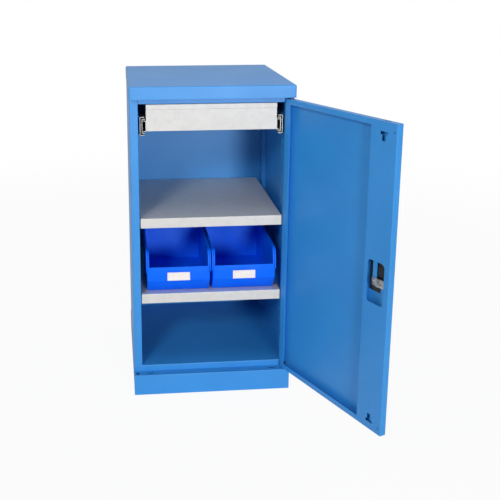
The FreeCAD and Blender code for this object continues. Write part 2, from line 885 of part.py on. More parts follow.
def make_guides():
    """Two guides that hold the rods near the door's top and bottom edges."""
    body = new_body("rod_guides")
    spans = [
        ("door_top - guide_far", "door_top - guide_near"),
        ("door_bottom + guide_near", "door_bottom + guide_far"),
    ]
    block = box_loop(
        f"{ROD_X} - rod_width",
        f"{ROD_X} + rod_width",
        f"{DOOR_OUT} + steel",
        "rod_level + rod_thick + guide_wall",
    )
    gap = box_loop(
        f"{ROD_X} - rod_width / 2 - guide_play",
        f"{ROD_X} + rod_width / 2 + guide_play",
        "rod_level - guide_play",
        "rod_level + rod_thick + guide_play",
    )
    for low, high in spans:
        pad(body, "Z", low, high, block, gap)
    hang_on_door(body)


def lock_box(half, low, top):
    """A rectangle round the spindle, seen square to the door."""
    return box_loop(
        f"{ROD_X} - {half}", f"{ROD_X} + {half}", f"lock_height - {low}", f"lock_height + {top}"
    )


def make_lock():
    """The lock: housing, spindle, cam, outside rosette, grip and key plug."""
    lock = [(ROD_X, "lock_height")]
    skin = f"({DOOR_OUT} + steel)"
    bore = "spindle_radius + running"
    housing = new_body("lock_base")
    plate = lock_box("plate_half", "plate_low", "plate_top")
    pad(housing, "Y", skin, f"{skin} + plate_thick", plate)
    middle = lock_box("housing_half", "housing_low", "housing_top")
    pad(housing, "Y", f"{skin} + plate_thick", f"{skin} + housing_high", middle)
    cut_round(housing, "Y", skin, f"{skin} + housing_high", lock, bore)
    hang_on_door(housing)

    rosette = new_body("lock_rosette")
    under = f"({DOOR_OUT} - rosette_thick)"
    pad_round(rosette, "Y", under, DOOR_OUT, lock, "rosette_radius")
    cut_round(rosette, "Y", under, DOOR_OUT, lock, bore)
    hang_on_door(rosette)

    cam = new_body("lock_cam")
    level = "(rod_level + rod_thick + cam_gap)"
    face = f"({level} + cam_thick)"
    reach = "(rod_stroke + cam_beyond)"
    bar = [
        (f"{ROD_X} - {reach}", "lock_height - cam_end"),
        (f"{ROD_X} - cam_waist", "lock_height - cam_neck"),
        (f"{ROD_X} + cam_waist", "lock_height - cam_neck"),
        (f"{ROD_X} + {reach}", "lock_height - cam_end"),
        (f"{ROD_X} + {reach}", "lock_height + cam_end"),
        (f"{ROD_X} + cam_waist", "lock_height + cam_neck"),
        (f"{ROD_X} - cam_waist", "lock_height + cam_neck"),
        (f"{ROD_X} - {reach}", "lock_height + cam_end"),
    ]
    pad(cam, "Y", level, face, bar)
    ends = [bar[index] for index in (0, 3, 4, 7)]
    round_edges(cam, "Y", ends, "cam_round")
    rivets = [(f"{ROD_X} + {side} * rod_stroke", "lock_height") for side in (-1, 1)]
    pad_round(cam, "Y", face, f"{face} + rivet_high", rivets, "rivet_radius")
    pad_round(cam, "Y", face, f"{face} + boss_high", lock, "boss_radius")
    hang_on_door(cam)

    spindle = new_body("lock_spindle")
    near = f"({under} - grip_gap)"
    pad_round(spindle, "Y", near, level, lock, "spindle_radius")
    hang_on_door(spindle)

    grip = new_body("turn_handle")
    outer = f"({near} - grip_high)"
    wing = lock_box("grip_wide", "grip_half", "grip_half")
    pad(grip, "Y", outer, near, wing)
    round_edges(grip, "Y", wing, "grip_round")
    cut_round(grip, "Y", outer, f"{outer} + plug_depth", lock, "plug_radius + running")
    hang_on_door(grip)

    plug = new_body("key_plug")
    proud = f"({outer} - plug_proud)"
    bottom = f"{outer} + plug_depth - guide_play"
    pad_round(plug, "Y", proud, bottom, lock, "plug_radius")
    slit = lock_box("key_half", "key_tall", "key_tall")
    cut(plug, "Y", proud, f"{proud} + key_depth", slit)
    hang_on_door(plug)


make_cap()
make_plinth()
make_side("side_left", -1)
make_side("side_right", 1)
make_back()
make_header()
make_floor()
for word, side in (("left", -1), ("right", 1)):
    make_upright(f"upright_front_{word}", side, "upright_front")
    make_upright(f"upright_rear_{word}", side, "upright_rear")
    make_carrier(f"slide_carrier_{word}", side)
make_shelf("shelf_upper", "shelf_high")
make_shelf("shelf_lower", "shelf_low")
make_clips()
make_slides()
make_drawer()
make_bin("bin_left", "bin_label_left", -1)
make_bin("bin_right", "bin_label_right", 1)
make_door()
make_lock_stile()
make_pivots()
make_rod("rod_upper", 1)
make_rod("rod_lower", -1)
make_guides()
make_lock()
doc.recompute()

failed = [item.Name for item in doc.Objects if {"Invalid", "Error"} & set(item.State)]
for body in nodes:
    if body.Shape.isNull() or not body.Shape.isValid():
        failed.append(body.Label)
    for feature in body.Group:
        base = getattr(feature, "BaseFeature", None)
        if base is None or feature.Shape.isNull() or base.Shape.isNull():
            continue
        change = feature.Shape.Volume - base.Shape.Volume
        removes = feature.TypeId in ("PartDesign::Pocket", "PartDesign::LinearPattern")
        if feature.TypeId == "PartDesign::Pad" and change <= 0 or removes and change >= 0:
            failed.append(f"{body.Label} {feature.Name} changes {change:.2f}")
if failed:
    raise RuntimeError("failed: " + ", ".join(failed))

os.makedirs("parts", exist_ok=True)
for body in nodes:
    body.Shape.exportStep(f"parts/{body.Label}.step")
    print(body.Label, len(body.Shape.Solids), round(body.Shape.Volume / 1000, 1), "cm3")
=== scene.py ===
import logging
import math
from collections.abc import Callable, Iterator, Sequence
from contextlib import contextmanager
from dataclasses import dataclass
from enum import Enum

import bmesh
import bpy
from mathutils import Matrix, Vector


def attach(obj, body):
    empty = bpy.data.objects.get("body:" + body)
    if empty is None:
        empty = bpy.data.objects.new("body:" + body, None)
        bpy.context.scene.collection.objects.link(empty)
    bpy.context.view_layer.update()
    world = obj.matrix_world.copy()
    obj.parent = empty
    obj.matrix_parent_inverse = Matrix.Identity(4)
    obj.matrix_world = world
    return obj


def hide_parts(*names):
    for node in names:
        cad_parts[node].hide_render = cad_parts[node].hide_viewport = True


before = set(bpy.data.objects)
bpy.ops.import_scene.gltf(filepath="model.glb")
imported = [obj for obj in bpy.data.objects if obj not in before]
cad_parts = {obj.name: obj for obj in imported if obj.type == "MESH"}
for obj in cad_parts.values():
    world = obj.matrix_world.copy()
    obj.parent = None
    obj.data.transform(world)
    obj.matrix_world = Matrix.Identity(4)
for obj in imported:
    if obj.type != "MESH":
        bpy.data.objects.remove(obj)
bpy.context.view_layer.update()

# A blue steel storage cupboard with its door open, a drawer, two shelves and two bins.
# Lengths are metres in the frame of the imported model: X to the right, Y to the back, Z up.

MM = 0.001

# How nearly a normal or an edge has to follow an axis to be picked, as a cosine.
ALONG = 0.9
STRAIGHT = 0.99

# Edges that turn by more are rounded, and faces that turn by less are shaded as one.
SHARP_ANGLE = math.radians(30)
SMOOTH_ANGLE = math.radians(35)

# A unit plane reaches this far from its middle.
UNIT_HALF = 0.5

# Points closer than this count as lying at the same place.
NEAR = 1 * MM

# Parts that are joined reach this far into each other.
OVERLAP = 1 * MM

# The curve of the sRGB standard.
SRGB_KNEE = 0.04045
SRGB_SLOPE = 12.92
SRGB_LIFT = 0.055
SRGB_POWER = 2.4

# Sockets of the Mix node, by number, for colours and for vectors.
MIX_SHARE = 0
MIX_COLOURS = (6, 7)
MIX_COLOUR_OUT = 2
MIX_VECTORS = (4, 5)
MIX_VECTOR_OUT = 1

log = logging.getLogger("cupboard")


def linear(code: str) -> tuple[float, float, float, float]:
    """Turn an sRGB hex colour into the linear colour that a shader takes.

    Args:
        code: Six hex digits after a hash sign.

    Returns:
        Linear red, green and blue, with an alpha of one.
    """
    channels = [int(code[start : start + 2], 16) / 255 for start in (1, 3, 5)]
    bright = [
        part / SRGB_SLOPE
        if part <= SRGB_KNEE
        else ((part + SRGB_LIFT) / (1 + SRGB_LIFT)) ** SRGB_POWER
        for part in channels
    ]
    return (bright[0], bright[1], bright[2], 1.0)


def add_node(
    tree: bpy.types.NodeTree,
    kind: str,
    values: dict[str | int, object] | None = None,
    links: dict[str | int, bpy.types.NodeSocket] | None = None,
    **settings: object,
) -> bpy.types.Node:
    """Add a node with its settings, its input values and its links.

    Args:
        tree: The node tree that takes the node.
        kind: The node's type, without the word ShaderNode.
        values: Values of inputs, by name or number.
        links: Output sockets that feed inputs, by the input's name or number.
        settings: Properties of the node.

    Returns:
        The new node.
    """
    node = tree.nodes.new("ShaderNode" + kind)
    for key, setting in settings.items():
        setattr(node, key, setting)
    for key, number in (values or {}).items():
        node.inputs[key].default_value = number
    for key, socket in (links or {}).items():
        tree.links.new(socket, node.inputs[key])
    return node


class Coat(Enum):
    """The finishes that the cupboard's pieces take, by their slots in the record."""

    PAINT = "blue_paint"
    SHEET = "zinc_sheet"
    PLATE = "zinc_plate"
    BIN = "bin_plastic"
    CARD = "label_card"
    NYLON = "black_plastic"
    BRASS = "brass"


@dataclass(frozen=True)
class Finish:
    """What all finishes share: a name, two tones and the range of the gloss.

    The two tones and the two roughnesses are mixed by a pattern whose size is patch. The
    pattern runs over the middle of its noise, which spread gives. Grain is the width of the
    fine relief, and relief is its height.
    """

    name: str = "plain"
    light: str = "#FFFFFF"
    dark: str = "#F0F0F0"
    smooth: float = 0.4
    rough: float = 0.5
    metallic: float = 0.0
    anisotropic: float = 0.0
    specular: float = 0.5
    patch: float = 80 * MM
    grain: float = 3 * MM
    relief: float = 0.05 * MM
    relief_strength: float = 0.2
    spread: tuple[float, float] = (0.3, 0.7)
    patch_detail: float = 3.0
    grain_detail: float = 2.0

    def pattern(self, tree: bpy.types.NodeTree, place: bpy.types.NodeSocket) -> bpy.types.NodeSocket:
        """Draw the broad pattern that mixes the two tones.

        Args:
            tree: The material's node tree.
            place: Object coordinates in metres.

        Returns:
            A socket that runs from zero to one.
        """
        cloud = add_node(
            tree,
            "TexNoise",
            {"Scale": 1 / self.patch, "Detail": self.patch_detail},
            {"Vector": place},
        )
        low, high = self.spread
        return add_node(
            tree,
            "MapRange",
            {"From Min": low, "From Max": high},
            {"Value": cloud.outputs["Fac"]},
        ).outputs["Result"]

    def surface(self, tree: bpy.types.NodeTree, place: bpy.types.NodeSocket) -> bpy.types.NodeSocket:
        """Draw the fine relief of the surface.

        Args:
            tree: The material's node tree.
            place: Object coordinates in metres.

        Returns:
            A socket with the height of the relief, from zero to one.
        """
        return add_node(
            tree,
            "TexNoise",
            {"Scale": 1 / self.grain, "Detail": self.grain_detail},
            {"Vector": place},
        ).outputs["Fac"]

    def material(self) -> bpy.types.Material:
        """Build the material.

        Returns:
            A material with the finish's tones, gloss and relief.
        """
        made = bpy.data.materials.new(self.name)
        made.use_nodes = True
        tree = made.node_tree
        tree.nodes.clear()
        place = add_node(tree, "TexCoord").outputs["Object"]
        share = self.pattern(tree, place)
        tone = add_node(
            tree,
            "Mix",
            dict(zip(MIX_COLOURS, (linear(self.light), linear(self.dark)))),
            {MIX_SHARE: share},
            data_type="RGBA",
        )
        gloss = add_node(
            tree, "MapRange", {"To Min": self.smooth, "To Max": self.rough}, {"Value": share}
        )
        relief = add_node(
            tree,
            "Bump",
            {"Strength": self.relief_strength, "Distance": self.relief},
            {"Height": self.surface(tree, place)},
        )
        shader = add_node(
            tree,
            "BsdfPrincipled",
            {
                "Metallic": self.metallic,
                "Anisotropic": self.anisotropic,
                "Specular IOR Level": self.specular,
            },
            {
                "Base Color": tone.outputs[MIX_COLOUR_OUT],
                "Tangent": add_node(tree, "CombineXYZ", {"X": 1.0}).outputs["Vector"],
                "Roughness": gloss.outputs["Result"],
                "Normal": relief.outputs["Normal"],
            },
        )
        add_node(tree, "OutputMaterial", links={"Surface": shader.outputs["BSDF"]})
        return made


@dataclass(frozen=True)
class PowderCoat(Finish):
    """Polyester powder, sprayed on steel and baked: satin, with a faint orange peel.

    The peel of the real coat is 1 to 2 mm wide. It is drawn 4 mm wide, so that it shows.
    """

    name: str = "satin polyester powder coat"
    light: str = "#3391DC"
    dark: str = "#2E8BD5"
    smooth: float = 0.38
    rough: float = 0.43
    patch: float = 180 * MM
    grain: float = 4 * MM
    relief: float = 0.05 * MM


@dataclass(frozen=True)
class GalvanisedSheet(Finish):
    """Hot-dipped steel sheet: pale grey crystals of zinc, each with its own gloss.

    The crystals of such sheet are 5 to 20 mm wide, so they are drawn 14 mm wide. Waves of
    noise, a few to each crystal, shift their edges by a small share of the noise.
    """

    name: str = "hot-dip galvanised steel sheet"
    light: str = "#D9D7D2"
    dark: str = "#D3D1CD"
    smooth: float = 0.43
    rough: float = 0.48
    metallic: float = 0.08
    anisotropic: float = 0.6
    patch: float = 14 * MM
    grain: float = 2 * MM
    relief: float = 0.03 * MM
    waves: float = 3.0
    waver_share: float = 0.004

    def pattern(self, tree: bpy.types.NodeTree, place: bpy.types.NodeSocket) -> bpy.types.NodeSocket:
        """Draw the zinc crystals, with edges that a little noise breaks up.

        Args:
            tree: The material's node tree.
            place: Object coordinates in metres.

        Returns:
            A socket with one number per crystal.
        """
        waver = add_node(tree, "TexNoise", {"Scale": self.waves / self.patch}, {"Vector": place})
        bent = add_node(
            tree,
            "Mix",
            {MIX_SHARE: self.waver_share},
            dict(zip(MIX_VECTORS, (place, waver.outputs["Color"]))),
            data_type="VECTOR",
        )
        crystal = add_node(
            tree,
            "TexVoronoi",
            {"Scale": 1 / self.patch},
            {"Vector": bent.outputs[MIX_VECTOR_OUT]},
        )
        return add_node(
            tree, "SeparateColor", links={"Color": crystal.outputs["Color"]}
        ).outputs["Red"]


@dataclass(frozen=True)
class ZincPlate(Finish):
    """Steel with a bright, blue-passivated zinc plating, marked by rolling and pressing."""

    name: str = "bright zinc plated steel"
    light: str = "#B9BAB8"
    dark: str = "#9C9EA0"
    smooth: float = 0.24
    rough: float = 0.36
    metallic: float = 1.0
    patch: float = 25 * MM
    grain: float = 1.5 * MM
    relief: float = 0.02 * MM


@dataclass(frozen=True)
class BinPlastic(Finish):
    """Injection-moulded polypropylene, coloured through, with a fine spark texture."""

    name: str = "injection-moulded blue polypropylene"
    light: str = "#016EFF"
    dark: str = "#0167FD"
    smooth: float = 0.44
    rough: float = 0.54
    specular: float = 0.12
    patch: float = 60 * MM
    grain: float = 1.5 * MM
    relief: float = 0.04 * MM


@dataclass(frozen=True)
class LabelCard(Finish):
    """Plain uncoated card: matt, warm white, with a faint fibre."""

    name: str = "uncoated white card"
    light: str = "#F5ECE6"
    dark: str = "#EFE6DF"
    smooth: float = 0.7
    rough: float = 0.85
    patch: float = 12 * MM
    grain: float = 0.8 * MM
    relief: float = 0.05 * MM


@dataclass(frozen=True)
class BlackNylon(Finish):
    """Glass-filled nylon, moulded: nearly black, half matt, with a spark texture."""

    name: str = "moulded black nylon"
    light: str = "#1C1D1F"
    dark: str = "#141516"
    smooth: float = 0.38
    rough: float = 0.52
    patch: float = 20 * MM
    grain: float = 1.2 * MM
    relief: float = 0.05 * MM


@dataclass(frozen=True)
class TurnedBrass(Finish):
    """Brass turned on a lathe: warm yellow with fine marks."""

    name: str = "turned brass"
    light: str = "#D9B565"
    dark: str = "#C79F4C"
    smooth: float = 0.22
    rough: float = 0.34
    metallic: float = 1.0
    patch: float = 6 * MM
    grain: float = 0.6 * MM
    relief: float = 0.02 * MM


FINISHES: dict[Coat, Finish] = {
    Coat.PAINT: PowderCoat(),
    Coat.SHEET: GalvanisedSheet(),
    Coat.PLATE: ZincPlate(),
    Coat.BIN: BinPlastic(),
    Coat.CARD: LabelCard(),
    Coat.NYLON: BlackNylon(),
    Coat.BRASS: TurnedBrass(),
}

MADE: dict[Coat, bpy.types.Material] = {}


def material_of(coat: Coat) -> bpy.types.Material:
    """Give the one material of a finish, built when it is first asked for.

    Args:
        coat: The finish.

    Returns:
        Its material.
    """
    if coat not in MADE:
        MADE[coat] = FINISHES[coat].material()
    return MADE[coat]


def paint_nodes(coat: Coat, names: Sequence[str]) -> None:
    """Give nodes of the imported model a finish.

    Args:
        coat: The finish.
        names: The nodes.
    """
    for name in names:
        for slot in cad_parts[name].material_slots:
            slot.material = material_of(coat)
        log.info("%s: %s", name, FINISHES[coat].name)


def clear_selection() -> None:
    """Leave nothing selected."""
    bpy.ops.object.select_all(action="DESELECT")


def take(piece: bpy.types.Object) -> None:
    """Select one piece alone and make it active.

    Args:
        piece: The piece.
    """
    clear_selection()
    piece.select_set(True)
    bpy.context.view_layer.objects.active = piece


def settle(piece: bpy.types.Object, name: str) -> bpy.types.Object:
    """Name a piece and move its place, turn and scale into its mesh.

    Args:
        piece: The piece.
        name: Its name.

    Returns:
        The same piece.
    """
    piece.name = name
    take(piece)
    bpy.ops.object.transform_apply(location=True, rotation=True, scale=True)
    return piece


def add_block(name: str, low: Sequence[float], high: Sequence[float]) -> bpy.types.Object:
    """Add a block between two corners.

    Args:
        name: The piece's name.
        low: The lowest corner.
        high: The highest corner.

    Returns:
        The block, to be shaped.
    """
    clear_selection()
    middle = [(near + far) / 2 for near, far in zip(low, high)]
    bpy.ops.mesh.primitive_cube_add(size=1, location=middle)
    piece = bpy.context.active_object
    piece.scale = [far - near for near, far in zip(low, high)]
    return settle(piece, name)


def add_disc(
    name: str, radius: float, low: float, high: float, corners: int = 48
) -> bpy.types.Object:
    """Add a round bar along Y, to be shaped.

    Args:
        name: The piece's name.
        radius: The bar's radius.
        low: Its lower level along Y.
        high: Its higher level along Y.
        corners: How many sides it has.

    Returns:
        The bar.
    """
    clear_selection()
    bpy.ops.mesh.primitive_cylinder_add(
        vertices=corners,
        radius=radius,
        depth=high - low,
        location=(0.0, (low + high) / 2, 0.0),
        rotation=(math.radians(90), 0.0, 0.0),
    )
    return settle(bpy.context.active_object, name)


@contextmanager
def editing(piece: bpy.types.Object) -> Iterator[None]:
    """Open a piece in edit mode with nothing selected, and close it afterwards.

    Args:
        piece: The piece.
    """
    take(piece)
    bpy.ops.object.mode_set(mode="EDIT")
    bpy.ops.mesh.select_mode(type="FACE")
    bpy.ops.mesh.select_all(action="DESELECT")
    yield
    bpy.ops.object.mode_set(mode="OBJECT")


# A test takes the middle of a face or an edge, and its normal or direction.
Test = Callable[[Vector, Vector], bool]


def facing(axis: str, sense: int) -> Test:
    """Make a test for faces that look along an axis.

    Args:
        axis: The axis, as x, y or z.
        sense: 1 for faces that look its way and -1 for those that look against it.

    Returns:
        A test of a face's middle and its normal.
    """
    return lambda at, way: sense * getattr(way, axis) > ALONG


def running(axis: str) -> Test:
    """Make a test for edges that run along an axis.

    Args:
        axis: The axis, as x, y or z.

    Returns:
        A test of an edge's middle and its direction.
    """
    return lambda at, way: abs(getattr(way, axis)) > STRAIGHT


def pick_faces(piece: bpy.types.Object, test: Test) -> None:
    """Select in edit mode the faces that pass a test.

    Args:
        piece: The piece.
        test: Takes a face's middle and its normal.
    """
    bpy.ops.mesh.select_mode(type="FACE")
    bpy.ops.mesh.select_all(action="DESELECT")
    mesh = bmesh.from_edit_mesh(piece.data)
    picked = [face for face in mesh.faces if test(face.calc_center_median(), face.normal)]
    for face in picked:
        face.select_set(True)
    bmesh.update_edit_mesh(piece.data)


def pick_edges(piece: bpy.types.Object, test: Test) -> None:
    """Select in edit mode the edges that pass a test.

    Args:
        piece: The piece.
        test: Takes an edge's middle and its direction.
    """
    bpy.ops.mesh.select_mode(type="EDGE")
    bpy.ops.mesh.select_all(action="DESELECT")
    mesh = bmesh.from_edit_mesh(piece.data)
    picked = []
    for edge in mesh.edges:
        start, end = (corner.co for corner in edge.verts)
        if test((start + end) / 2, (end - start).normalized()):
            picked.append(edge)
    for edge in picked:
        edge.select_set(True)
    bmesh.update_edit_mesh(piece.data)


def sink(piece: bpy.types.Object, sense: int, rim: float, depth: float) -> None:
    """Push in the face at one end of Y, and leave a rim round it.

    Args:
        piece: The piece, in edit mode.
        sense: 1 for the face that looks along Y and -1 for the one that looks against it.
        rim: How wide the rim is.
        depth: How far the face goes in.
    """
    pick_faces(piece, facing("y", sense))
    bpy.ops.mesh.inset(thickness=rim)
    bpy.ops.mesh.extrude_region_move(TRANSFORM_OT_translate={"value": (0.0, -sense * depth, 0.0)})


def cut_away(here: Sequence[float], way: Sequence[float]) -> None:
    """Cut off in edit mode what lies beyond a plane, and close the cut.

    Args:
        here: A point on the plane.
        way: The plane's normal, towards what goes.
    """
    bpy.ops.mesh.select_all(action="SELECT")
    bpy.ops.mesh.bisect(plane_co=here, plane_no=way, use_fill=True, clear_outer=True)


def modify(piece: bpy.types.Object, kind: str, **settings: object) -> None:
    """Put a modifier on a piece and apply it.

    Args:
        piece: The piece.
        kind: The modifier's type.
        settings: Its settings.
    """
    take(piece)
    modifier = piece.modifiers.new(kind.title(), kind)
    for key, setting in settings.items():
        setattr(modifier, key, setting)
    bpy.ops.object.modifier_apply(modifier=modifier.name)


def soften(piece: bpy.types.Object, radius: float, segments: int = 2) -> None:
    """Round a piece's sharp edges.

    Args:
        piece: The piece.
        radius: The radius of the rounding.
        segments: How many faces each rounding has.
    """
    modify(
        piece,
        "BEVEL",
        width=radius,
        segments=segments,
        limit_method="ANGLE",
        angle_limit=SHARP_ANGLE,
        use_clamp_overlap=True,
    )


def join(pieces: Sequence[bpy.types.Object]) -> bpy.types.Object:
    """Join pieces into the first of them.

    Args:
        pieces: The pieces.

    Returns:
        The first piece, which now holds all meshes.
    """
    take(pieces[0])
    for piece in pieces:
        piece.select_set(True)
    bpy.ops.object.join()
    return pieces[0]


def fit(piece: bpy.types.Object, body: str, coat: Coat, replaces: Sequence[str] = ()) -> None:
    """Finish a piece: its shading, its material, its body and the nodes that it stands for.

    Args:
        piece: The piece.
        body: The body that it rides on.
        coat: Its finish.
        replaces: The nodes that it replaces.
    """
    take(piece)
    bpy.ops.object.shade_smooth_by_angle(angle=SMOOTH_ANGLE)
    piece.data.materials.clear()
    piece.data.materials.append(material_of(coat))
    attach(piece, body)
    if replaces:
        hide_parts(*replaces)
    log.info("%s: %d faces, rides on %s", piece.name, len(piece.data.polygons), body)


@dataclass(frozen=True)
class Lamp:
    """A round soft lamp that faces the cupboard.

    Side and height are its way from the cupboard in degrees, with the side positive to the
    right of the front. Distance and width are metres, and power is watts.
    """

    name: str
    side: float
    height: float
    distance: float
    width: float
    power: float


@dataclass
class Studio:
    """A pale floor, a white surround, four soft lamps and the camera.

    The floor fades to white between floor_near and floor_far, and floor_glow is the share
    of white that it starts with. Surround is the fill light, and gloss is how bright the
    surround looks in glossy faces.
    """

    camera_place: tuple[float, float, float] = (-0.2929, -2.8141, 1.3438)
    camera_yaw: float = 5.68
    camera_pitch: float = 14.57
    lens: float = 61.88
    sensor: float = 36.0
    shift: tuple[float, float] = (0.10, -0.12)
    clip: tuple[float, float] = (0.05, 100.0)
    aim: tuple[float, float, float] = (0.0, -0.1, 0.5)
    lamps: tuple[Lamp, ...] = (
        Lamp("key_lamp", side=-24.0, height=26.0, distance=6.8, width=1.4, power=140.0),
        Lamp("front_lamp", side=9.0, height=7.0, distance=6.4, width=1.2, power=164.0),
        Lamp("top_lamp", side=0.0, height=78.0, distance=1.9, width=1.2, power=7.0),
        Lamp("rear_lamp", side=118.0, height=34.0, distance=6.8, width=1.6, power=75.0),
    )
    surround: float = 0.19
    gloss: float = 0.75
    floor_size: float = 60.0
    floor_near: float = 1.2
    floor_far: float = 4.0
    floor_glow: float = 0.93
    floor_tone: str = "#F4F4F4"

    def set_camera(self) -> None:
        """Place the camera at the photograph's view."""
        lens = bpy.data.cameras.new("camera")
        lens.lens = self.lens
        lens.sensor_width = self.sensor
        lens.shift_x, lens.shift_y = self.shift
        lens.clip_start, lens.clip_end = self.clip
        camera = bpy.data.objects.new("camera", lens)
        camera.location = self.camera_place
        camera.rotation_euler = (
            math.radians(90 - self.camera_pitch),
            0.0,
            math.radians(-self.camera_yaw),
        )
        bpy.context.scene.collection.objects.link(camera)
        bpy.context.scene.camera = camera

    def hang(self, lamp: Lamp) -> None:
        """Hang a soft lamp that faces the cupboard.

        Args:
            lamp: The lamp.
        """
        light = bpy.data.lights.new(lamp.name, "AREA")
        light.shape = "DISK"
        light.size = lamp.width
        light.energy = lamp.power
        holder = bpy.data.objects.new(lamp.name, light)
        side = math.radians(lamp.side)
        height = math.radians(lamp.height)
        away = Vector(
            (
                math.sin(side) * math.cos(height),
                -math.cos(side) * math.cos(height),
                math.sin(height),
            )
        )
        holder.location = Vector(self.aim) + away * lamp.distance
        holder.rotation_mode = "QUATERNION"
        holder.rotation_quaternion = away.to_track_quat("Z", "Y")
        bpy.context.scene.collection.objects.link(holder)

    def brightness(self, tree: bpy.types.NodeTree) -> bpy.types.NodeSocket:
        """Tell how bright the background looks to each kind of ray.

        Args:
            tree: The node tree of the world or of the floor.

        Returns:
            A socket that is one for camera and glass rays, a little less for gloss rays and
            zero for the rays that only light the object.
        """
        path = add_node(tree, "LightPath")
        white = add_node(
            tree,
            "Math",
            links={0: path.outputs["Is Camera Ray"], 1: path.outputs["Is Transmission Ray"]},
            operation="MAXIMUM",
        )
        gloss = add_node(
            tree,
            "Math",
            {1: self.gloss},
            {0: path.outputs["Is Glossy Ray"]},
            operation="MULTIPLY",
        )
        return add_node(
            tree,
            "Math",
            links={0: white.outputs[0], 1: gloss.outputs[0]},
            operation="MAXIMUM",
        ).outputs[0]

    def set_world(self) -> None:
        """Make the surround white where it is seen, and a soft fill light elsewhere."""
        world = bpy.data.worlds.new("white surround")
        world.use_nodes = True
        tree = world.node_tree
        tree.nodes.clear()
        level = add_node(
            tree, "Math", {1: self.surround}, {0: self.brightness(tree)}, operation="MAXIMUM"
        )
        sky = add_node(
            tree,
            "Background",
            {"Color": (1.0, 1.0, 1.0, 1.0)},
            {"Strength": level.outputs[0]},
        )
        add_node(tree, "OutputWorld", links={"Surface": sky.outputs["Background"]})
        bpy.context.scene.world = world

    def set_floor(self) -> None:
        """Lay the pale floor, which keeps a soft shadow and fades to white far away."""
        clear_selection()
        bpy.ops.mesh.primitive_plane_add(size=self.floor_size)
        floor = bpy.context.active_object
        floor.name = "floor"
        made = bpy.data.materials.new("matt white studio floor")
        made.use_nodes = True
        tree = made.node_tree
        tree.nodes.clear()
        matt = add_node(tree, "BsdfDiffuse", {"Color": linear(self.floor_tone)})
        bright = self.brightness(tree)
        glow = add_node(tree, "Emission", {"Color": (1.0, 1.0, 1.0, 1.0)}, {"Strength": bright})
        seen = add_node(tree, "Math", {1: 0.0}, {0: bright}, operation="GREATER_THAN")
        away = add_node(
            tree,
            "VectorMath",
            links={0: add_node(tree, "TexCoord").outputs["Object"]},
            operation="LENGTH",
        )
        fade = add_node(
            tree,
            "MapRange",
            {
                "From Min": self.floor_near,
                "From Max": self.floor_far,
                "To Min": self.floor_glow,
                "To Max": 1.0,
            },
            {"Value": away.outputs["Value"]},
            interpolation_type="SMOOTHSTEP",
        )
        share = add_node(
            tree,
            "Math",
            links={0: fade.outputs["Result"], 1: seen.outputs[0]},
            operation="MULTIPLY",
        )
        mixed = add_node(
            tree,
            "MixShader",
            links={0: share.outputs[0], 1: matt.outputs["BSDF"], 2: glow.outputs["Emission"]},
        )
        add_node(tree, "OutputMaterial", links={"Surface": mixed.outputs["Shader"]})
        floor.data.materials.append(made)

    def build(self) -> None:
        """Set up the whole studio."""
        bpy.context.scene.view_settings.view_transform = "Standard"
        self.set_camera()
        for lamp in self.lamps:
            self.hang(lamp)
        self.set_world()
        self.set_floor()
        log.info("studio set")


@dataclass
class Carcass:
    """The painted steel case, its uprights and its galvanised shelves."""

    painted: tuple[str, ...] = (
        "top_cap",
        "plinth",
        "side_left",
        "side_right",
        "back_panel",
        "header_rail",
        "floor_panel",
        "upright_front_left",
        "upright_front_right",
        "upright_rear_left",
        "upright_rear_right",
        "slide_carrier_left",
        "slide_carrier_right",
    )
    shelves: tuple[str, ...] = ("shelf_upper", "shelf_lower")
    clips: tuple[str, ...] = ("shelf_clips",)
    bushes: tuple[str, ...] = ("pivot_bush_top", "pivot_bush_bottom")

    def dress(self) -> None:
        """Give the case's nodes their finishes."""
        paint_nodes(Coat.PAINT, self.painted)
        paint_nodes(Coat.SHEET, self.shelves)
        paint_nodes(Coat.PLATE, self.clips)
        paint_nodes(Coat.NYLON, self.bushes)


@dataclass
class Door:
    """The door with its lock stile and rods."""

    painted: tuple[str, ...] = ("door_panel", "lock_stile", "rod_upper", "rod_lower")
    plated: tuple[str, ...] = ("hinge_pin_top", "hinge_pin_bottom", "lock_spindle")
    moulded: tuple[str, ...] = ("rod_guides",)
    turned: tuple[str, ...] = ("key_plug",)

    def dress(self) -> None:
        """Give the door's nodes their finishes."""
        paint_nodes(Coat.PAINT, self.painted)
        paint_nodes(Coat.PLATE, self.plated)
        paint_nodes(Coat.NYLON, self.moulded)
        paint_nodes(Coat.BRASS, self.turned)


